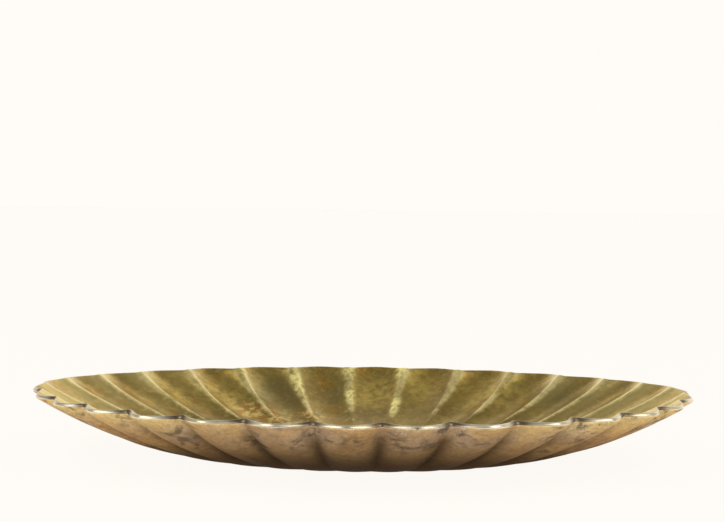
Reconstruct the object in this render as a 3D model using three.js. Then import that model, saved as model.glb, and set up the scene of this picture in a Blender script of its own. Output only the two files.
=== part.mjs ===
import * as THREE from "three";

// Oval fluted brass tray, in millimetres: X runs along its length, Z is up and it stands on Z = 0.
const LENGTH = 400;
const WIDTH = 325;
const BASE_LENGTH = 160;
const BASE_WIDTH = 130;
const RIM_HEIGHT = 37.4;
const TIP_RISE = 2;
const FLARE = 1.92;
const WALL = 2.2;

// The lobes, and the ridges between them on the inside.
const LOBES = 30;
const LOBE_OFFSET = 0.77;
const RIDGE_HEIGHT = 7.2;
const RIDGE_LOW_SHARE = 0.35;
const RIDGE_SHARPNESS = 1.8;
const CREASE_SHARE = 0.82;
const SCALLOP = 7.5;
const LIP_ROUND = 0.4;

// Felt pads under the flat base.
const PAD_DIAMETER = 18;
const PAD_THICKNESS = 1.5;
const PAD_PLACE = 0.6;

// Columns across a lobe, gathered towards its ridges.
const STEPS_PER_LOBE = 8;
const GATHER_AT_RIDGE = 0.5;
const STEPS = LOBES * STEPS_PER_LOBE;
const SLOPE_RUN = (LENGTH - BASE_LENGTH + WIDTH - BASE_WIDTH) / 4;

const smooth = THREE.MathUtils.smoothstep;
const blend = THREE.MathUtils.lerp;

// Angles round the oval that share its outline out into equal lengths, so that all lobes are equally wide.
function equalTurns(fractions) {
  const fine = 3600;
  const lengths = [0];
  for (let i = 0; i < fine; i += 1) {
    const turn = ((i + 0.5) / fine) * 2 * Math.PI;
    lengths.push(lengths[i] + Math.hypot(LENGTH * Math.sin(turn), WIDTH * Math.cos(turn)));
  }
  return fractions.map((fraction) => {
    const goal = (fraction % 1) * lengths[fine];
    const i = lengths.findIndex((length) => length > goal) - 1;
    const part = (goal - lengths[i]) / (lengths[i + 1] - lengths[i]);
    return ((i + part) / fine) * 2 * Math.PI;
  });
}

// The outside of the tray along the middle of its lobes.
// The run is -1 at the centre, 0 at the edge of the flat base and 1 at the rim.
function skin(run, turn) {
  const inBase = 1 + Math.min(run, 0);
  const upWall = Math.max(run, 0);
  const halfLength = (inBase * BASE_LENGTH + upWall * (LENGTH - BASE_LENGTH)) / 2;
  const halfWidth = (inBase * BASE_WIDTH + upWall * (WIDTH - BASE_WIDTH)) / 2;
  const rimRise = RIM_HEIGHT - PAD_THICKNESS + TIP_RISE * Math.cos(turn) ** 8;
  return new THREE.Vector3(
    halfLength * Math.cos(turn),
    halfWidth * Math.sin(turn),
    PAD_THICKNESS + rimRise * upWall ** FLARE,
  );
}

function upRun(run, turn) {
  return skin(run + 0.001, turn).sub(skin(run - 0.001, turn)).normalize();
}

function inward(run, turn) {
  if (run <= 0) {
    return new THREE.Vector3(0, 0, 1);
  }
  const along = skin(run, turn + 0.001).sub(skin(run, turn - 0.001));
  return upRun(run, turn).cross(along).normalize();
}

// Height of a ridge above the lobes beside it: nothing at the base, growing all the way to the rim.
function ridgeHeight(run) {
  return RIDGE_HEIGHT * smooth(run, 0, 0.55) * blend(RIDGE_LOW_SHARE, 1, run ** 3);
}

// How far across its lobe a column stands, from 0 at one ridge to 1 at the next.
function columnPlace(column) {
  const part = (column % STEPS_PER_LOBE) / STEPS_PER_LOBE;
  return part - (GATHER_AT_RIDGE * Math.sin(2 * Math.PI * part)) / (2 * Math.PI);
}

// A point of the shell. The side is 0 on the outside and 1 on the inside of the wall.
function place({ run, side, lip = 0 }, turn, across) {
  const crest = Math.abs(2 * across - 1) ** RIDGE_SHARPNESS;
  const drawnIn = run - (SCALLOP / SLOPE_RUN) * crest * smooth(run, 0.5, 1);
  const lift = side * WALL + ridgeHeight(run) * crest * blend(CREASE_SHARE, 1, side);
  const point = skin(drawnIn, turn).addScaledVector(inward(drawnIn, turn), lift);
  return lip > 0 ? point.addScaledVector(upRun(drawnIn, turn), lip) : point;
}

// The wall section, from the centre of the underside out to the rim and back inside to the centre.
const outside = [-1, 0, 0.14, 0.28, 0.42, 0.56, 0.7, 0.82, 0.92, 1];
const inside = [1, 0.97, 0.94, 0.9, 0.82, 0.7, 0.56, 0.42, 0.28, 0.14, 0, -1];
const section = [
  ...outside.map((run) => ({ run, side: 0 })),
  { run: 1, side: 0.5, lip: LIP_ROUND },
  ...inside.map((run) => ({ run, side: 1 })),
];

function dishGeometry() {
  const profile = section.map((station) => {
    const { x, z } = place(station, 0, 0.5);
    return new THREE.Vector2(x, z);
  });
  const geometry = new THREE.LatheGeometry(profile, STEPS);
  geometry.rotateX(Math.PI / 2);
  const fractions = Array.from({ length: STEPS }, (_, i) => {
    const lobe = Math.floor(i / STEPS_PER_LOBE);
    return (lobe + columnPlace(i) + LOBE_OFFSET) / LOBES;
  });
  const turns = equalTurns(fractions);
  const position = geometry.getAttribute("position");
  for (let i = 0; i <= STEPS; i += 1) {
    const turn = turns[i % STEPS];
    section.forEach((station, j) => {
      const { x, y, z } = place(station, turn, columnPlace(i));
      position.setXYZ(i * section.length + j, x, y, z);
    });
  }
  geometry.computeVertexNormals();
  return geometry;
}

const tray = new THREE.Group();
tray.name = "tray";

const brass = new THREE.MeshStandardMaterial({ color: 0x8a7440, metalness: 1, roughness: 0.4 });
const dish = new THREE.Mesh(dishGeometry(), brass);
dish.name = "dish";
tray.add(dish);

const padPlaces = [
  ["base_pad_front_left", -1, -1],
  ["base_pad_front_right", 1, -1],
  ["base_pad_back_left", -1, 1],
  ["base_pad_back_right", 1, 1],
];
for (const [name, sideX, sideY] of padPlaces) {
  const geometry = new THREE.CylinderGeometry(PAD_DIAMETER / 2, PAD_DIAMETER / 2, PAD_THICKNESS, 40);
  geometry.rotateX(Math.PI / 2);
  geometry.translate(
    (sideX * PAD_PLACE * BASE_LENGTH) / 2,
    (sideY * PAD_PLACE * BASE_WIDTH) / 2,
    PAD_THICKNESS / 2,
  );
  const felt = new THREE.MeshStandardMaterial({ color: 0x2e2a24, roughness: 1 });
  const pad = new THREE.Mesh(geometry, felt);
  pad.name = name;
  tray.add(pad);
}

export default tray;
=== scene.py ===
import math

import bpy
from mathutils import Matrix, Vector


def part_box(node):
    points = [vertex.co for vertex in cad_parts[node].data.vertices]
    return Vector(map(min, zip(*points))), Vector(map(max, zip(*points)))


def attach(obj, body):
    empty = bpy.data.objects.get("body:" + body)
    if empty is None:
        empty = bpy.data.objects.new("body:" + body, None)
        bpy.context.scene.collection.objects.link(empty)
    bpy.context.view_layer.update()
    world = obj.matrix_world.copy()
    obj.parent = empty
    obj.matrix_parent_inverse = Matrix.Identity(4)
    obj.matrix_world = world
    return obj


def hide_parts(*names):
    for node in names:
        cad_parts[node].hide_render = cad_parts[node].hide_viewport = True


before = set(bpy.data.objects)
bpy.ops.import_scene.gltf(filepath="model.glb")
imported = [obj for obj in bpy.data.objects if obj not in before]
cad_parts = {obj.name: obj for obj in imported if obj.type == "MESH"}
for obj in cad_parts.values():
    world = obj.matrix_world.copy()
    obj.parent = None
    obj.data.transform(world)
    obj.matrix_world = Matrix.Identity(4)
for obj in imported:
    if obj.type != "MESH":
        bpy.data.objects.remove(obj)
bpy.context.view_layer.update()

# The oval dish, in metres, as in the part's source.
LENGTH = 0.400
WIDTH = 0.325
BASE_LENGTH = 0.160
BASE_WIDTH = 0.130
FELT_THICKNESS = 0.0015
RIM_HEIGHT = 0.0374
TIP_RISE = 0.0020
TIP_RISE_SHARPNESS = 8
FLARE = 1.92
WALL = 0.0022
WALL_THICKEST = 0.007
WALL_SLOPE = (LENGTH - BASE_LENGTH + WIDTH - BASE_WIDTH) / 4

# Its lobes and the ridges between them.
LOBES = 30
LOBE_OFFSET = 0.775
LOBE_GATHER = 0.16
LOBE_MIDDLE_ROUND = 0.2
RIDGE_HEIGHT = 0.0072
RIDGE_LOW_SHARE = 0.35
RIDGE_GROWTH = 3
RIDGE_SHARPNESS = 1.8
RIDGE_ROUND_LOW = 0.001
RIDGE_ROUND_TOP = 0.030
CREASE_SHARE = 0.82
SCALLOP = 0.0075
TIP_SCALLOP_SHARE = 0.27
TIP_RIDGE_SHARE = 0.50
RIM_LIP = 0.0007
RIM_ROUND = 0.0010
CASTING_WAVE = 0.0005
CASTING_WAVE_SIZE = 0.022

# How far up the wall each of these begins or is full, from 0 at the base edge to 1 at the rim.
RIDGE_GROWN = 0.55
RIDGE_ROUND_FROM = 0.75
SCALLOP_FROM = 0.5
TIP_RIDGE_FROM = 0.6
RIM_LIP_FROM = 0.92
CREST_FROM = 0.05
CREST_GROWN = 0.55
CASTING_WAVE_FROM = 0.1
CASTING_WAVE_GROWN = 0.5

# How finely the dish is drawn.
COLUMNS_PER_LOBE = 24
COLUMNS = LOBES * COLUMNS_PER_LOBE
GATHER_AT_RIDGE = 0.60
BASE_RINGS = 5
WALL_RINGS = 42
RINGS_TOWARDS_RIM = 0.55
RIM_ROUND_STEPS = 4
OUTLINE_STEPS = 3000
OUTLINE_FINE_STEPS = 7200
SECTION_START_SIZE = 0.002
MERGE_DISTANCE = 1e-6

# Places in the dish's list of finishes; the inside is the first.
OUTSIDE_FINISH = 1
RIM_FINISH = 2

# Felt discs under the base.
FELT_RADIUS = 0.009
FELT_SIDES = 96
FELT_EDGE_ROUND = 0.00035
FELT_EDGE_STEPS = 3
FELT_RINGS = 8
FELT_INSET = FELT_RADIUS / (FELT_RINGS + 2)
FELT_FUZZ = 0.00012
FELT_FUZZ_SIZE = 0.0012
FELT_PLACES = ("base_pad_front_left", "base_pad_front_right", "base_pad_back_left", "base_pad_back_right")
FACES_UP_OR_DOWN = 0.99

# Camera of the photograph.
CAMERA_AIM = Vector((0, 0, 0.037))
CAMERA_DISTANCE = 1.308
CAMERA_HEIGHT_ANGLE = math.radians(6.42)
CAMERA_PITCH = math.radians(-2.809)
CAMERA_ROLL = math.radians(0.684)
CAMERA_YAW = math.radians(0.0654)
CAMERA_LENS = 106.66
CAMERA_SENSOR = 36.0
CAMERA_NEAREST = 0.01

# Studio: floor, light of the room, the wall that the metal mirrors, and two softboxes.
STUDIO_WHITE = (1.0, 0.973, 0.930, 1.0)
FLOOR_PAPER = (0.90, 0.876, 0.837, 1.0)
FLOOR_SIZE = 12.0
FLOOR_WHITE_SEEN = 0.965
FLOOR_WHITE_MIRRORED = 0.18
ROOM_LIGHT = 0.8
REAR_WALL_LEAN = 0.25
REAR_WALL_DARK_TO = 0.18
REAR_WALL_DARK = (0.22, 0.22, 0.21, 1.0)
REAR_WALL_WHITE_FROM = 0.88
REAR_WALL_LEVELS = ((0.30, 0.27), (0.38, 0.29), (0.46, 0.32), (0.52, 0.37), (0.58, 0.45), (0.66, 0.58),
                    (0.75, 0.75))
REAR_WALL_GREEN = 0.985
REAR_WALL_BLUE = 0.95
HORIZON_LEVEL = 0.85
HORIZON_FRONT_DIM = 0.45
SOFTBOXES = {"softbox_left": (-0.9, -0.6, 1.0), "softbox_right": (0.9, -0.6, 1.0)}
SOFTBOX_WIDE = 1.0
SOFTBOX_TALL = 0.8
SOFTBOX_POWER = 5.5

# Colours of the inside.
INSIDE_OLIVE = (0.532, 0.396, 0.110, 1.0)
INSIDE_GOLD = (0.646, 0.468, 0.125, 1.0)
INSIDE_HONEY = (0.780, 0.540, 0.117, 1.0)
INSIDE_STAIN = (0.400, 0.248, 0.062, 1.0)
INSIDE_RUST = (0.636, 0.360, 0.062, 1.0)
INSIDE_SPECK = (0.230, 0.145, 0.045, 1.0)
INSIDE_FLECK = (0.880, 0.660, 0.180, 1.0)
INSIDE_LOW_WALL = (0.190, 0.135, 0.031, 1.0)
INSIDE_DARKER_LOBES = (0.250, 0.215, 0.085, 1.0)
INSIDE_GOLDEN = (0.920, 0.680, 0.170, 1.0)
# Painted highlight for the inside near the ridges at both ends.
INSIDE_END_HIGHLIGHT = (0.960, 0.770, 0.300, 1.0)
INSIDE_RUSTED = (0.680, 0.350, 0.080, 1.0)
INSIDE_FLAKED = (0.960, 0.780, 0.260, 1.0)
# Lighter ridges: partly real wear, partly a painted highlight along each crest.
INSIDE_RIDGE_WEAR_AND_HIGHLIGHT = (0.960, 0.820, 0.370, 1.0)
INSIDE_RUBBED_HIGHLIGHT = (0.980, 0.870, 0.300, 1.0)

# Colours of the outside.
# Partly darker patina, partly painted shade: the outside's tone towards the bottom, standing in for the
# shadowed floor mirrored there.
OUTSIDE_LOW_PATINA_AND_SHADE = (0.072, 0.032, 0.009, 1.0)
OUTSIDE_TAN = (0.960, 0.680, 0.320, 1.0)
OUTSIDE_WARM = (0.520, 0.280, 0.100, 1.0)
# Painted light: the colour for both ends, where the painted shade towards the bottom is lifted.
OUTSIDE_ENDS_LESS_SHADE = (0.880, 0.600, 0.265, 1.0)
OUTSIDE_PATCH = (0.260, 0.165, 0.098, 1.0)
OUTSIDE_SMOKE = (0.620, 0.530, 0.440, 1.0)
# Lighter and warmer colour for the two ends near the rim.
OUTSIDE_LIGHTER_ENDS = (1.0, 0.800, 0.360, 1.0)
OUTSIDE_SOOT = (0.095, 0.066, 0.056, 1.0)
OUTSIDE_SPECK = (0.200, 0.115, 0.070, 1.0)
# Painted shade for the creases of the outside.
OUTSIDE_CREASE_SHADE = (0.060, 0.038, 0.020, 1.0)
# Colour of small pale spots near the rim of the outside.
OUTSIDE_PALE_SPOT = (0.900, 0.780, 0.620, 1.0)
OUTSIDE_EDGE_TINT = (0.95, 0.79, 0.63, 1.0)

# Colours of the rim and of the felt.
RIM_PALE = (0.980, 0.900, 0.700, 1.0)
RIM_GOLD = (0.900, 0.790, 0.540, 1.0)
RIM_TARNISH = (0.400, 0.310, 0.150, 1.0)
# Painted shade for the rim at the ridge ends.
RIM_RIDGE_END_SHADE = (0.240, 0.185, 0.115, 1.0)
RIM_PIT = (0.100, 0.075, 0.055, 1.0)
FELT_DARK = (0.055, 0.045, 0.034, 1.0)
FELT_LIGHT = (0.150, 0.128, 0.098, 1.0)
FELT_TUFT = (0.120, 0.098, 0.072, 1.0)

# Sizes in the mottling and in the felt, in metres; a fineness divides all three sizes of the mottling.
CLOUD_SIZE = 0.050
PATCH_SIZE = 0.014
SPECK_SIZE = 0.0032
STAIN_FINENESS = 0.62
PATINA_FINENESS = 1.3
SOOT_FINENESS = 1.9
FELT_FIBRE_SIZE = 0.0009
FELT_TUFT_SIZE = 0.0040

# How rough the finishes are, and the sheen of the felt.
INSIDE_ROUGHNESS = 0.29
INSIDE_STAIN_ROUGHER = 0.12
INSIDE_RIDGE_SMOOTHER = 0.04
OUTSIDE_ROUGHNESS = 0.42
OUTSIDE_PATCH_ROUGHER = 0.15
RIM_ROUGHNESS = 0.33
RIM_SPECK_ROUGHER = 0.06
FELT_ROUGHNESS = 0.95
FELT_SHEEN = 0.3

# Single marks on the dish: where each one is, and how far it reaches.
# Places of a painted highlight on ridge tops, partly real polish from wear.
RUBBED_HIGHLIGHT_MARKS = ((-0.004, 0.152, 0.038, 0.020), (-0.004, 0.128, 0.022, 0.020), (-0.038, 0.137, 0.030, 0.026),
                (0.022, 0.148, 0.038, 0.018), (0.020, 0.116, 0.018, 0.018), (-0.077, 0.136, 0.039, 0.012))
FLAKED_MARKS = ((-0.072, 0.101, 0.014, 0.018), (-0.055, 0.094, 0.012, 0.020), (-0.033, 0.101, 0.013, 0.015))
GOLDEN_MARKS = ((0.036, 0.141, 0.029, 0.024), (-0.105, 0.111, 0.030, 0.024), (0.088, 0.118, 0.026, 0.030),
                (-0.128, 0.098, 0.026, 0.034), (-0.091, 0.110, 0.020, 0.034), (0.011, 0.134, 0.026, 0.026))
# Places where single lobes are painted darker.
DARKER_LOBE_MARKS = ((-0.056, 0.128, 0.028, 0.034), (-0.020, 0.128, 0.025, 0.018), (0.129, 0.098, 0.024, 0.026))
SOOT_MARKS = ((-0.006, -0.148, 0.028, 0.013), (0.018, -0.146, 0.029, 0.014), (0.037, -0.138, 0.027, 0.013),
              (-0.060, -0.130, 0.025, 0.013))
PALE_SPOT_MARKS = ((0.124, -0.116, 0.032, 0.008), (0.118, -0.119, 0.033, 0.006), (0.020, -0.155, 0.035, 0.005),
                 (0.140, -0.108, 0.034, 0.006))
RIM_PITS = ((-0.0493, -0.1557, 0.0370, 0.0018), (0.0294, -0.1604, 0.0377, 0.0016),
            (0.0581, -0.1522, 0.0372, 0.0016))


def deselect_all():
    if bpy.context.object and bpy.context.object.mode != "OBJECT":
        bpy.ops.object.mode_set(mode="OBJECT")
    bpy.ops.object.select_all(action="DESELECT")


def smooth(value, low, high):
    part = min(max((value - low) / (high - low), 0.0), 1.0)
    return part * part * (3.0 - 2.0 * part)


def blend(start, end, part):
    return start + (end - start) * part


def soft_lumps(name, size):
    lumps = bpy.data.textures.new(name, "CLOUDS")
    lumps.noise_scale = size
    return lumps


def apply_modifier(piece, kind, name, **values):
    modifier = piece.modifiers.new(name, kind)
    for key, value in values.items():
        setattr(modifier, key, value)
    bpy.ops.object.modifier_apply(modifier=modifier.name)


# Nodes of the finishes.

def put(tree, kind, inputs=None, **settings):
    """Add a node; an input is a plain value or the output of another node."""
    node = tree.nodes.new(kind)
    for key, value in settings.items():
        setattr(node, key, value)
    for key, value in (inputs or {}).items():
        if isinstance(value, bpy.types.NodeSocket):
            tree.links.new(value, node.inputs[key])
        else:
            node.inputs[key].default_value = value
    return node


def sums(tree, operation, first, second=0.0):
    return put(tree, "ShaderNodeMath", {0: first, 1: second}, operation=operation).outputs[0]


def times(tree, first, second):
    return sums(tree, "MULTIPLY", first, second)


def step_between(tree, value, low, high):
    """0 below low, 1 above high, smooth between; low may be the larger."""
    inputs = {"Value": value, "From Min": low, "From Max": high}
    if low > high:
        inputs.update({"From Min": high, "From Max": low, "To Min": 1.0, "To Max": 0.0})
    return put(tree, "ShaderNodeMapRange", inputs, interpolation_type="SMOOTHSTEP").outputs[0]


def noise(tree, place, size, detail, roughness, distortion=0.0):
    inputs = {"Vector": place, "Scale": 1.0 / size, "Detail": detail, "Roughness": roughness,
              "Distortion": distortion}
    return put(tree, "ShaderNodeTexNoise", inputs).outputs[0]


def paint(tree, mask, under, over, way="MIX"):
    inputs = {0: mask, 6: under, 7: over}
    return put(tree, "ShaderNodeMix", inputs, data_type="RGBA", blend_type=way).outputs[2]


def coat(tree, under, over, mask, strength=None):
    """Lay a colour over the tone so far, where the mask is and as strongly as given."""
    if strength is not None:
        mask = times(tree, mask, strength)
    return paint(tree, mask, under, over)


def new_group(name, takes, gives):
    tree = bpy.data.node_groups.new(name, "ShaderNodeTree")
    for label, kind in takes:
        tree.interface.new_socket(name=label, in_out="INPUT", socket_type=kind)
    for label in gives:
        tree.interface.new_socket(name=label, in_out="OUTPUT", socket_type="NodeSocketFloat")
    return tree, tree.nodes.new("NodeGroupInput"), tree.nodes.new("NodeGroupOutput")


def mottling_group():
    """Patches of tarnish at three sizes, each from 0 to 1; a larger fineness makes them all smaller."""
    takes = [("Place", "NodeSocketVector"), ("Fineness", "NodeSocketFloat")]
    tree, given, result = new_group("tarnish mottling", takes, ["Clouds", "Patches", "Specks"])
    inputs = {0: given.outputs["Place"], "Scale": given.outputs["Fineness"]}
    place = put(tree, "ShaderNodeVectorMath", inputs, operation="SCALE").outputs[0]
    clouds = step_between(tree, noise(tree, place, CLOUD_SIZE, 3.0, 0.55, 0.6), 0.30, 0.70)
    patches = step_between(tree, noise(tree, place, PATCH_SIZE, 5.0, 0.62, 0.4), 0.36, 0.66)
    specks = step_between(tree, noise(tree, place, SPECK_SIZE, 4.0, 0.65), 0.35, 0.68)
    for label, value in (("Clouds", clouds), ("Patches", patches), ("Specks", specks)):
        tree.links.new(value, result.inputs[label])
    return tree


def edge_wear_and_highlight_group():
    """Where an edge is lighter, partly worn bright and partly a painted highlight: broken up by patches and
    specks.
    """
    takes = [("Edge", "NodeSocketFloat"), ("Patches", "NodeSocketFloat"), ("Specks", "NodeSocketFloat"),
             ("Spread", "NodeSocketFloat")]
    tree, given, result = new_group("edge wear and highlight", takes, ["Bright"])
    broken = sums(tree, "ADD", times(tree, given.outputs["Patches"], 0.6),
                  times(tree, given.outputs["Specks"], 0.4))
    wide = times(tree, sums(tree, "SUBTRACT", broken, 0.5), given.outputs["Spread"])
    reach = sums(tree, "ADD", given.outputs["Edge"], wide)
    tree.links.new(step_between(tree, reach, 0.70, 1.10), result.inputs["Bright"])
    return tree


def new_finish(name):
    material = bpy.data.materials.new(name)
    material.use_nodes = True
    tree = material.node_tree
    return material, tree, tree.nodes["Principled BSDF"]


def object_place(tree):
    return put(tree, "ShaderNodeTexCoord").outputs["Object"]


def mottling_of(tree, fineness=1.0):
    inputs = {"Place": object_place(tree), "Fineness": fineness}
    mottling = put(tree, "ShaderNodeGroup", inputs, node_tree=MOTTLING)
    return mottling.outputs["Clouds"], mottling.outputs["Patches"], mottling.outputs["Specks"]


def surface_value(tree, name):
    return put(tree, "ShaderNodeAttribute", attribute_name=name).outputs["Fac"]


def wear_and_highlight_of(tree, edge, patches, specks, spread):
    inputs = {"Edge": edge, "Patches": patches, "Specks": specks, "Spread": spread}
    return put(tree, "ShaderNodeGroup", inputs, node_tree=EDGE_WEAR_AND_HIGHLIGHT).outputs["Bright"]


def marks(tree, places):
    """Soft round marks: 1 in the middle of each, 0 outside them all."""
    here = object_place(tree)
    whole = 0.0
    for x, y, z, reach in places:
        inputs = {0: here, 1: (x, y, z)}
        apart = put(tree, "ShaderNodeVectorMath", inputs, operation="DISTANCE").outputs["Value"]
        whole = sums(tree, "MAXIMUM", whole, step_between(tree, apart, reach, 0.0))
    return whole


def oval_ends(tree, start, end):
    """The two ends of the oval: 0 up to start from the centre, 1 from end outwards."""
    along = put(tree, "ShaderNodeSeparateXYZ", {0: object_place(tree)}).outputs["X"]
    return step_between(tree, sums(tree, "ABSOLUTE", along), start, end)


def bump_of(tree, shader, height, strength, depth):
    bump = put(tree, "ShaderNodeBump", {"Strength": strength, "Distance": depth, "Height": height})
    tree.links.new(bump.outputs[0], shader.inputs["Normal"])


def inside_brass():
    material, tree, shader = new_finish("inside_brass")
    clouds, patches, specks = mottling_of(tree)
    rust_clouds, stains, flakes = mottling_of(tree, STAIN_FINENESS)
    crest = surface_value(tree, "crest")
    climb = surface_value(tree, "climb")
    tone = paint(tree, clouds, INSIDE_OLIVE, INSIDE_GOLD)
    tone = coat(tree, tone, INSIDE_HONEY, patches, 0.75)
    tone = coat(tree, tone, INSIDE_STAIN, stains, 0.65)
    rust = times(tree, step_between(tree, rust_clouds, 0.40, 0.85), step_between(tree, patches, 0.25, 0.85))
    tone = coat(tree, tone, INSIDE_RUST, rust, 0.85)
    tone = coat(tree, tone, INSIDE_SPECK, specks, 0.42)
    tone = coat(tree, tone, INSIDE_FLECK, step_between(tree, flakes, 0.60, 1.0), 0.35)
    low = times(tree, step_between(tree, climb, 0.95, 0.35), step_between(tree, climb, -0.40, 0.35))
    tone = coat(tree, tone, INSIDE_LOW_WALL, low, 0.46)
    # Darker on a few single lobes, at the listed places.
    tone = coat(tree, tone, INSIDE_DARKER_LOBES, marks(tree, DARKER_LOBE_MARKS), 0.60)
    golden = times(tree, marks(tree, GOLDEN_MARKS), step_between(tree, flakes, -0.30, 0.80))
    tone = coat(tree, tone, INSIDE_GOLDEN, golden, 0.75)
    # Painted highlight: the inside is painted lighter near the ridges at both ends, standing in for the
    # bright ridge flanks there.
    near_ridge = sums(tree, "ADD", times(tree, step_between(tree, crest, 0.05, 0.60), 0.63), 0.18)
    tone = coat(tree, tone, INSIDE_END_HIGHLIGHT, oval_ends(tree, start=0.08, end=0.19), near_ridge)
    flaked_marks = marks(tree, FLAKED_MARKS)
    tone = coat(tree, tone, INSIDE_RUSTED, flaked_marks, step_between(tree, patches, 0.10, 0.90))
    flaked = times(tree, step_between(tree, flakes, 0.45, 0.95), step_between(tree, crest, 0.20, 0.70))
    flaked = times(tree, flaked, step_between(tree, rust_clouds, 0.50, 0.90))
    flaked = sums(tree, "MAXIMUM", times(tree, flaked, 0.5),
                  times(tree, flaked_marks, step_between(tree, flakes, 0.30, 0.95)))
    tone = coat(tree, tone, INSIDE_FLAKED, flaked, 0.75)
    # Ridges painted lighter: partly real wear, partly a painted highlight along each crest.
    bright = wear_and_highlight_of(tree, crest, patches, specks, spread=0.30)
    tone = coat(tree, tone, INSIDE_RIDGE_WEAR_AND_HIGHLIGHT, bright, 0.85)
    # Painted highlight on a few ridge tops near the rim, partly real polish from wear.
    rubbed_highlight = times(tree, step_between(tree, crest, 0.50, 1.0), step_between(tree, specks, -0.20, 0.70))
    rubbed_highlight = times(tree, rubbed_highlight, marks(tree, RUBBED_HIGHLIGHT_MARKS))
    tone = coat(tree, tone, INSIDE_RUBBED_HIGHLIGHT, rubbed_highlight)
    tree.links.new(tone, shader.inputs["Base Color"])
    bare = sums(tree, "MAXIMUM", times(tree, bright, 0.30), times(tree, rubbed_highlight, 0.75))
    bare = sums(tree, "MAXIMUM", times(tree, flaked, 0.30), bare)
    tree.links.new(sums(tree, "SUBTRACT", 1.0, bare), shader.inputs["Metallic"])
    rough = sums(tree, "ADD", times(tree, stains, INSIDE_STAIN_ROUGHER), INSIDE_ROUGHNESS)
    rough = sums(tree, "SUBTRACT", rough, times(tree, bright, INSIDE_RIDGE_SMOOTHER))
    tree.links.new(rough, shader.inputs["Roughness"])
    bump_of(tree, shader, patches, strength=0.12, depth=0.0004)
    return material


def outside_patina_and_shade():
    material, tree, shader = new_finish("outside_patina_and_shade")
    clouds, patches, specks = mottling_of(tree, PATINA_FINENESS)
    soot_clouds, soot, spot_specks = mottling_of(tree, SOOT_FINENESS)
    crest = surface_value(tree, "crest")
    climb = surface_value(tree, "climb")
    # Painted shade, partly darker patina: the outside is painted darker towards the bottom, standing in for
    # the shadowed floor mirrored there.
    tone = paint(tree, step_between(tree, climb, 0.40, 1.0), OUTSIDE_LOW_PATINA_AND_SHADE, OUTSIDE_TAN)
    warm = times(tree, clouds, step_between(tree, climb, 0.55, 0.90))
    tone = coat(tree, tone, OUTSIDE_WARM, warm, 0.45)
    sides = oval_ends(tree, start=0.04, end=0.14)
    # Painted light: at both ends the outside is painted lighter from the lower wall up, lifting the painted
    # shade towards the bottom there.
    ends_less_shade = times(tree, sides, step_between(tree, climb, 0.38, 0.68))
    tone = coat(tree, tone, OUTSIDE_ENDS_LESS_SHADE, ends_less_shade, 0.62)
    tone = coat(tree, tone, OUTSIDE_PATCH, patches, 0.50)
    smoky = times(tree, soot_clouds, step_between(tree, climb, 0.60, 0.90))
    tone = coat(tree, tone, OUTSIDE_SMOKE, smoky, 0.60)
    # Lighter and warmer at the two ends near the rim.
    lighter_top_ends = times(tree, sides, step_between(tree, climb, 0.78, 1.0))
    tone = coat(tree, tone, OUTSIDE_LIGHTER_ENDS, lighter_top_ends, 0.75)
    sooty = times(tree, step_between(tree, soot, 0.35, 1.0), step_between(tree, soot_clouds, 0.45, 0.95))
    soot_spots = times(tree, marks(tree, SOOT_MARKS), step_between(tree, soot, 0.20, 0.80))
    tone = coat(tree, tone, OUTSIDE_SOOT, sums(tree, "MAXIMUM", sooty, soot_spots), 0.70)
    tone = coat(tree, tone, OUTSIDE_SPECK, specks, 0.28)
    # Painted shade in the creases of the outside, fading towards the rim and softer at the two ends.
    crease_shade = times(tree, step_between(tree, crest, 0.30, 1.0), step_between(tree, climb, 1.02, 0.78))
    softer_at_sides = sums(tree, "SUBTRACT", 0.75, times(tree, sides, 0.35))
    tone = coat(tree, tone, OUTSIDE_CREASE_SHADE, crease_shade, softer_at_sides)
    # Small pale spots near the rim, some scattered and some at the listed places.
    pale_spots = times(tree, step_between(tree, spot_specks, 0.93, 1.0), step_between(tree, climb, 0.86, 0.97))
    listed_pale_spots = times(tree, marks(tree, PALE_SPOT_MARKS), step_between(tree, spot_specks, 0.55, 0.80))
    pale_spots = sums(tree, "MAXIMUM", times(tree, pale_spots, soot_clouds), listed_pale_spots)
    tone = coat(tree, tone, OUTSIDE_PALE_SPOT, pale_spots)
    tree.links.new(tone, shader.inputs["Base Color"])
    shader.inputs["Metallic"].default_value = 1.0
    shader.inputs["Specular Tint"].default_value = OUTSIDE_EDGE_TINT
    rough = sums(tree, "ADD", times(tree, patches, OUTSIDE_PATCH_ROUGHER), OUTSIDE_ROUGHNESS)
    tree.links.new(rough, shader.inputs["Roughness"])
    bump_of(tree, shader, specks, strength=0.2, depth=0.0004)
    return material


def rim_brass():
    material, tree, shader = new_finish("rim_brass")
    clouds, patches, specks = mottling_of(tree)
    crest = surface_value(tree, "crest")
    tone = paint(tree, clouds, RIM_PALE, RIM_GOLD)
    tone = coat(tree, tone, RIM_TARNISH, patches, 0.30)
    # Painted shade: the rim darkens towards each ridge end, standing in for the dark room mirrored there.
    tone = coat(tree, tone, RIM_RIDGE_END_SHADE, step_between(tree, crest, 0.32, 0.88))
    tone = coat(tree, tone, RIM_PIT, marks(tree, RIM_PITS))
    tree.links.new(tone, shader.inputs["Base Color"])
    shader.inputs["Metallic"].default_value = 1.0
    rough = sums(tree, "ADD", times(tree, specks, RIM_SPECK_ROUGHER), RIM_ROUGHNESS)
    tree.links.new(rough, shader.inputs["Roughness"])
    bump_of(tree, shader, patches, strength=0.06, depth=0.0003)
    return material


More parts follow.
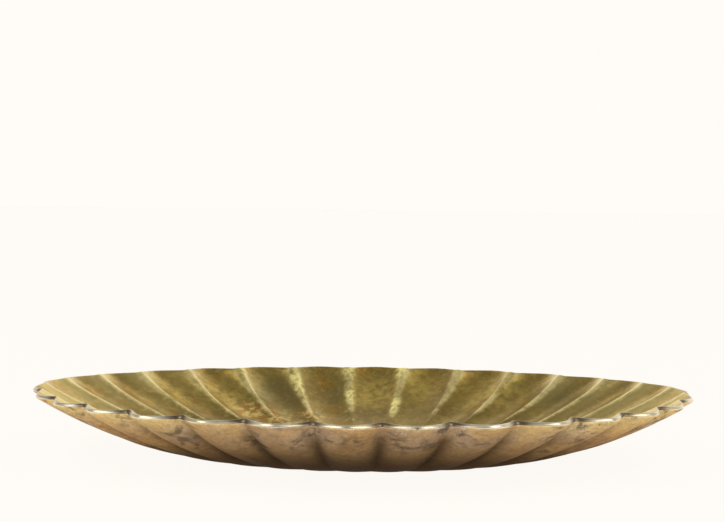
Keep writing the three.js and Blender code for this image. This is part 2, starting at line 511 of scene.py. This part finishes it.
def pressed_felt():
    material, tree, shader = new_finish("pressed_felt")
    place = object_place(tree)
    fibres = noise(tree, place, FELT_FIBRE_SIZE, 6.0, 0.7, 1.2)
    tufts = noise(tree, place, FELT_TUFT_SIZE, 3.0, 0.6)
    tone = paint(tree, fibres, FELT_DARK, FELT_LIGHT)
    tone = coat(tree, tone, FELT_TUFT, tufts, 0.4)
    tree.links.new(tone, shader.inputs["Base Color"])
    shader.inputs["Roughness"].default_value = FELT_ROUGHNESS
    shader.inputs["Sheen Weight"].default_value = FELT_SHEEN
    bump_of(tree, shader, fibres, strength=0.6, depth=0.0005)
    return material


# Shape of the dish.

def equal_turns(count):
    """Angles round the oval that share its outline out into equal lengths."""
    fine = OUTLINE_FINE_STEPS
    lengths = [0.0]
    for i in range(fine):
        turn = (i + 0.5) / fine * math.tau
        lengths.append(lengths[-1] + math.hypot(LENGTH * math.sin(turn), WIDTH * math.cos(turn)))
    turns = []
    i = 0
    for k in range(count + 1):
        goal = lengths[-1] * k / count
        while i < fine - 1 and lengths[i + 1] < goal:
            i += 1
        turns.append((i + (goal - lengths[i]) / (lengths[i + 1] - lengths[i])) / fine * math.tau)
    return turns


OUTLINE_TURNS = equal_turns(OUTLINE_STEPS)


def outline_turn(fraction):
    """Angle of a place given as a fraction of the way round the outline."""
    place = (fraction % 1.0) * (len(OUTLINE_TURNS) - 1)
    i = int(place)
    return blend(OUTLINE_TURNS[i], OUTLINE_TURNS[min(i + 1, len(OUTLINE_TURNS) - 1)], place - i)


def skin(run, turn):
    """Outside along the middle of the lobes; run is -1 at the centre, 0 at the base edge, 1 at the rim."""
    in_base = 1.0 + min(run, 0.0)
    up_wall = max(run, 0.0)
    half_length = (in_base * BASE_LENGTH + up_wall * (LENGTH - BASE_LENGTH)) / 2
    half_width = (in_base * BASE_WIDTH + up_wall * (WIDTH - BASE_WIDTH)) / 2
    rise = RIM_HEIGHT - FELT_THICKNESS + TIP_RISE * math.cos(turn) ** TIP_RISE_SHARPNESS
    return Vector((half_length * math.cos(turn), half_width * math.sin(turn),
                   FELT_THICKNESS + rise * up_wall ** FLARE))


def ridge_height(run):
    """Height of a ridge above the lobes beside it: nothing at the base, growing all the way to the rim."""
    return RIDGE_HEIGHT * smooth(run, 0.0, RIDGE_GROWN) * blend(RIDGE_LOW_SHARE, 1.0, run ** RIDGE_GROWTH)


def crest_share(across, run):
    """Height of the ridges across a lobe: 1 at the ridges on both sides, 0 along its middle."""
    aside = min(across, 1.0 - across)
    rounding = blend(RIDGE_ROUND_LOW, RIDGE_ROUND_TOP, smooth(run, RIDGE_ROUND_FROM, 1.0))
    aside = math.sqrt(aside * aside + rounding * rounding) - rounding
    from_middle = math.hypot(max(1.0 - 2.0 * aside, 0.0), LOBE_MIDDLE_ROUND)
    return from_middle ** RIDGE_SHARPNESS - LOBE_MIDDLE_ROUND ** RIDGE_SHARPNESS


def lobe_turn(place):
    """Angle of a place counted in lobes round the outline: the lobes gather a little towards both tips."""
    fraction = (place + LOBE_OFFSET) / LOBES
    return outline_turn(fraction - LOBE_GATHER / LOBES * math.sin(2 * math.tau * fraction))


def towards_tips(turn, least):
    """1 in the middle of the long sides, falling to the least share at the two tips."""
    return blend(least, 1.0, smooth(abs(math.sin(turn)), 0.0, 1.0))


def section_runs():
    """Where the rings lie from the centre out to the rim, closer together towards the rim."""
    runs = [-1.0 + i / (BASE_RINGS - 1) for i in range(BASE_RINGS)]
    for i in range(1, WALL_RINGS + 1):
        part = i / WALL_RINGS
        runs.append(blend(part, 1.0 - (1.0 - part) ** 2, RINGS_TOWARDS_RIM))
    # The ring next to the rim is left out, to make room for the rim's rounding.
    del runs[-2]
    return runs


def draw_section(runs):
    """Chain of edges from the centre of the base out to the rim, at the end of the oval."""
    deselect_all()
    bpy.ops.mesh.primitive_plane_add(size=SECTION_START_SIZE, location=(0, 0, 0))
    section = bpy.context.object
    bpy.ops.object.mode_set(mode="EDIT")
    bpy.ops.mesh.select_all(action="SELECT")
    bpy.ops.mesh.merge(type="CENTER")
    bpy.ops.transform.translate(value=skin(-1.0, math.pi / 2))
    for here, there in zip(runs, runs[1:]):
        step = skin(there, math.pi / 2) - skin(here, math.pi / 2)
        step = Vector((step.y * LENGTH / WIDTH, 0, step.z))
        bpy.ops.mesh.extrude_region_move(TRANSFORM_OT_translate={"value": step})
    bpy.ops.object.mode_set(mode="OBJECT")
    return section


def flute_dish(dish, runs):
    """Slide the columns to their lobes, draw the rim in at the ridges and raise the ridges."""
    radii = [skin(run, 0.0).x for run in runs]
    mesh = dish.data
    creases = dish.vertex_groups.new(name="creases")
    wall = dish.vertex_groups.new(name="wall")
    uneven = dish.vertex_groups.new(name="uneven")
    crests = []
    climbs = []
    for vertex in mesh.vertices:
        radius = math.hypot(vertex.co.x, vertex.co.y)
        run = runs[min(range(len(radii)), key=lambda i: abs(radii[i] - radius))]
        column = round(math.atan2(vertex.co.y, vertex.co.x) / math.tau * COLUMNS) % COLUMNS
        part = (column % COLUMNS_PER_LOBE) / COLUMNS_PER_LOBE
        across = part - GATHER_AT_RIDGE * math.sin(math.tau * part) / math.tau
        turn = lobe_turn(column // COLUMNS_PER_LOBE + across)
        crest = crest_share(across, run)
        scallop = SCALLOP * towards_tips(turn, TIP_SCALLOP_SHARE)
        vertex.co = skin(run - scallop / WALL_SLOPE * crest * smooth(run, SCALLOP_FROM, 1.0), turn)
        crests.append(crest * smooth(run, CREST_FROM, CREST_GROWN))
        climbs.append(run)
        ridge = crest * ridge_height(run)
        ridge *= blend(1.0, towards_tips(turn, TIP_RIDGE_SHARE), smooth(run, TIP_RIDGE_FROM, 1.0))
        crease = ridge * CREASE_SHARE
        creases.add([vertex.index], crease / RIDGE_HEIGHT, "REPLACE")
        lip = RIM_LIP * (1.0 - crest) * smooth(run, RIM_LIP_FROM, 1.0)
        wall.add([vertex.index], (WALL + lip + ridge - crease) / WALL_THICKEST, "REPLACE")
        uneven.add([vertex.index], smooth(run, CASTING_WAVE_FROM, CASTING_WAVE_GROWN), "REPLACE")
    mesh.update()
    mesh.attributes.new("crest", "FLOAT", "POINT").data.foreach_set("value", crests)
    mesh.attributes.new("climb", "FLOAT", "POINT").data.foreach_set("value", climbs)
    apply_modifier(dish, "DISPLACE", "raise creases", direction="NORMAL", strength=RIDGE_HEIGHT,
                   mid_level=0.0, vertex_group="creases")
    apply_modifier(dish, "DISPLACE", "casting wave", direction="NORMAL", strength=CASTING_WAVE,
                   mid_level=0.5, vertex_group="uneven", texture_coords="LOCAL",
                   texture=soft_lumps("casting wave", CASTING_WAVE_SIZE))


def start_selecting(kind):
    """Nothing selected, and edit mode set to select edges or faces, so that they can be picked in code."""
    bpy.ops.object.mode_set(mode="EDIT")
    bpy.ops.mesh.select_mode(type=kind)
    bpy.ops.mesh.select_all(action="DESELECT")
    bpy.ops.object.mode_set(mode="OBJECT")


def round_rim(dish):
    """Bevel the two edges round the rim, each of which lies between the rim's finish and another."""
    start_selecting("EDGE")
    touching = {}
    for face in dish.data.polygons:
        for key in face.edge_keys:
            touching.setdefault(key, set()).add(face.material_index)
    for edge in dish.data.edges:
        around = touching[edge.key]
        edge.select = len(around) == 2 and RIM_FINISH in around
    bpy.ops.object.mode_set(mode="EDIT")
    bpy.ops.mesh.bevel(offset=RIM_ROUND, segments=RIM_ROUND_STEPS, affect="EDGES", clamp_overlap=False)
    bpy.ops.object.mode_set(mode="OBJECT")


def model_dish():
    """A section turned round, fluted, given its wall and rounded at the rim."""
    runs = section_runs()
    dish = draw_section(runs)
    dish.name = dish.data.name = "brass_dish"
    apply_modifier(dish, "SCREW", "turn round", axis="Z", angle=math.tau, screw_offset=0.0, steps=COLUMNS,
                   render_steps=COLUMNS, use_merge_vertices=True, merge_threshold=MERGE_DISTANCE)
    bpy.ops.object.mode_set(mode="EDIT")
    bpy.ops.mesh.select_all(action="SELECT")
    bpy.ops.mesh.remove_doubles(threshold=MERGE_DISTANCE)
    bpy.ops.mesh.normals_make_consistent(inside=True)
    bpy.ops.object.mode_set(mode="OBJECT")
    flute_dish(dish, runs)
    for material in (inside_brass(), outside_patina_and_shade(), rim_brass()):
        dish.data.materials.append(material)
    apply_modifier(dish, "SOLIDIFY", "wall", thickness=WALL_THICKEST, offset=1.0, use_even_offset=True,
                   vertex_group="wall", material_offset=OUTSIDE_FINISH, material_offset_rim=RIM_FINISH)
    round_rim(dish)
    bpy.ops.object.shade_smooth()
    return dish


# Felt discs.

def middle_of(node):
    low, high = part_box(node)
    return (low + high) / 2


def model_felt_disc(node):
    """A cut disc of felt: rings inset in both faces, a rounded edge and a fuzzy, uneven surface."""
    deselect_all()
    bpy.ops.mesh.primitive_cylinder_add(vertices=FELT_SIDES, radius=FELT_RADIUS, depth=FELT_THICKNESS,
                                        location=middle_of(node))
    disc = bpy.context.object
    bpy.ops.object.transform_apply(location=True, rotation=False, scale=False)
    start_selecting("FACE")
    for face in disc.data.polygons:
        face.select = abs(face.normal.z) > FACES_UP_OR_DOWN
    bpy.ops.object.mode_set(mode="EDIT")
    bpy.ops.mesh.bevel(offset=FELT_EDGE_ROUND, segments=FELT_EDGE_STEPS, affect="EDGES")
    start_selecting("FACE")
    for face in disc.data.polygons:
        face.select = len(face.vertices) == FELT_SIDES
    bpy.ops.object.mode_set(mode="EDIT")
    for _ in range(FELT_RINGS):
        bpy.ops.mesh.inset(thickness=FELT_INSET, use_individual=True)
    bpy.ops.mesh.poke()
    bpy.ops.object.mode_set(mode="OBJECT")
    apply_modifier(disc, "DISPLACE", "fuzz", direction="NORMAL", strength=FELT_FUZZ, mid_level=1.0,
                   texture_coords="LOCAL", texture=soft_lumps("felt fuzz", FELT_FUZZ_SIZE))
    bpy.ops.object.shade_smooth()
    return disc


def copy_felt_disc(disc, start, node):
    """A copy of the first disc, with a mesh of its own, under another part of the base."""
    deselect_all()
    disc.select_set(True)
    bpy.context.view_layer.objects.active = disc
    bpy.ops.object.duplicate(linked=False)
    twin = bpy.context.object
    twin.location = middle_of(node) - middle_of(start)
    bpy.ops.object.transform_apply(location=True, rotation=False, scale=False)
    return twin


# Studio.

def lay_floor():
    """Pale paper that keeps the shadow, looks white to the camera and can be seen through from below."""
    deselect_all()
    bpy.ops.mesh.primitive_plane_add(size=FLOOR_SIZE, location=(0, 0, 0))
    floor = bpy.context.object
    floor.name = "studio_floor"
    material = bpy.data.materials.new("studio_floor_paper")
    material.use_nodes = True
    tree = material.node_tree
    tree.nodes.clear()
    rays = put(tree, "ShaderNodeLightPath")
    paper = put(tree, "ShaderNodeBsdfDiffuse", {"Color": FLOOR_PAPER})
    glow = put(tree, "ShaderNodeEmission", {"Color": STUDIO_WHITE, "Strength": 1.0})
    seen = sums(tree, "ADD", times(tree, rays.outputs["Is Camera Ray"], FLOOR_WHITE_SEEN),
                times(tree, rays.outputs["Is Glossy Ray"], FLOOR_WHITE_MIRRORED))
    lit = put(tree, "ShaderNodeMixShader", {0: seen, 1: paper.outputs[0], 2: glow.outputs[0]})
    below = put(tree, "ShaderNodeNewGeometry").outputs["Backfacing"]
    clear = put(tree, "ShaderNodeBsdfTransparent")
    both = put(tree, "ShaderNodeMixShader", {0: below, 1: lit.outputs[0], 2: clear.outputs[0]})
    out = put(tree, "ShaderNodeOutputMaterial")
    tree.links.new(both.outputs[0], out.inputs["Surface"])
    floor.data.materials.append(material)


def hang_world():
    """White to the camera, soft light on the tray, and a wall of several levels mirrored in the metal."""
    world = bpy.data.worlds.new("studio")
    bpy.context.scene.world = world
    world.use_nodes = True
    tree = world.node_tree
    tree.nodes.clear()
    rays = put(tree, "ShaderNodeLightPath")
    way = put(tree, "ShaderNodeSeparateXYZ", {0: put(tree, "ShaderNodeTexCoord").outputs["Generated"]})
    rearward = sums(tree, "ADD", way.outputs["Y"], times(tree, way.outputs["X"], REAR_WALL_LEAN))
    rear_wall = put(tree, "ShaderNodeValToRGB", {0: rearward})
    stops = rear_wall.color_ramp.elements
    stops[0].position = REAR_WALL_DARK_TO
    stops[0].color = REAR_WALL_DARK
    stops[1].position = REAR_WALL_WHITE_FROM
    stops[1].color = STUDIO_WHITE
    for position, level in REAR_WALL_LEVELS:
        stops.new(position).color = (level, level * REAR_WALL_GREEN, level * REAR_WALL_BLUE, 1.0)
    front = step_between(tree, way.outputs["Y"], -0.1, -0.7)
    horizon = times(tree, step_between(tree, way.outputs["Z"], 0.45, 0.12),
                    sums(tree, "SUBTRACT", HORIZON_LEVEL, times(tree, front, HORIZON_FRONT_DIM)))
    room = paint(tree, 1.0, rear_wall.outputs[0], horizon, "LIGHTEN")
    seen = put(tree, "ShaderNodeBackground", {"Color": STUDIO_WHITE, "Strength": 1.0})
    mirrored = put(tree, "ShaderNodeBackground", {"Color": room, "Strength": 1.0})
    soft = put(tree, "ShaderNodeBackground", {"Color": STUDIO_WHITE, "Strength": ROOM_LIGHT})
    shiny = sums(tree, "MAXIMUM", rays.outputs["Is Glossy Ray"], rays.outputs["Is Transmission Ray"])
    light = put(tree, "ShaderNodeMixShader", {0: shiny, 1: soft.outputs[0], 2: mirrored.outputs[0]})
    whole = put(tree, "ShaderNodeMixShader",
                {0: rays.outputs["Is Camera Ray"], 1: light.outputs[0], 2: seen.outputs[0]})
    out = put(tree, "ShaderNodeOutputWorld")
    tree.links.new(whole.outputs[0], out.inputs["Surface"])


def hang_softbox(name, place):
    lamp = bpy.data.lights.new(name, "AREA")
    lamp.shape = "RECTANGLE"
    lamp.size = SOFTBOX_WIDE
    lamp.size_y = SOFTBOX_TALL
    lamp.energy = SOFTBOX_POWER
    holder = bpy.data.objects.new(name, lamp)
    bpy.context.scene.collection.objects.link(holder)
    holder.location = place
    holder.rotation_euler = (CAMERA_AIM - Vector(place)).to_track_quat("-Z", "Y").to_euler()
    holder.visible_camera = False


def set_camera():
    lens = bpy.data.cameras.new("camera")
    lens.sensor_width = CAMERA_SENSOR
    lens.lens = CAMERA_LENS
    lens.clip_start = CAMERA_NEAREST
    camera = bpy.data.objects.new("camera", lens)
    bpy.context.scene.collection.objects.link(camera)
    away = Vector((0, -math.cos(CAMERA_HEIGHT_ANGLE), math.sin(CAMERA_HEIGHT_ANGLE)))
    turn = (Matrix.Rotation(CAMERA_YAW, 4, "Z") @ Matrix.Rotation(math.pi / 2 + CAMERA_PITCH, 4, "X")
            @ Matrix.Rotation(CAMERA_ROLL, 4, "Z"))
    camera.matrix_world = Matrix.Translation(CAMERA_AIM + CAMERA_DISTANCE * away) @ turn
    bpy.context.scene.camera = camera


MOTTLING = mottling_group()
EDGE_WEAR_AND_HIGHLIGHT = edge_wear_and_highlight_group()

set_camera()
lay_floor()
hang_world()
for softbox, softbox_place in SOFTBOXES.items():
    hang_softbox(softbox, softbox_place)

dish = model_dish()
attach(dish, "root")
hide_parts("dish")

first_disc = model_felt_disc(FELT_PLACES[0])
first_disc.data.materials.append(pressed_felt())
felt_discs = [first_disc] + [copy_felt_disc(first_disc, FELT_PLACES[0], node) for node in FELT_PLACES[1:]]
for disc, node in zip(felt_discs, FELT_PLACES):
    disc.name = disc.data.name = node.replace("base_pad", "felt_disc")
    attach(disc, "root")
    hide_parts(node)

bpy.context.scene.view_settings.view_transform = "Standard"
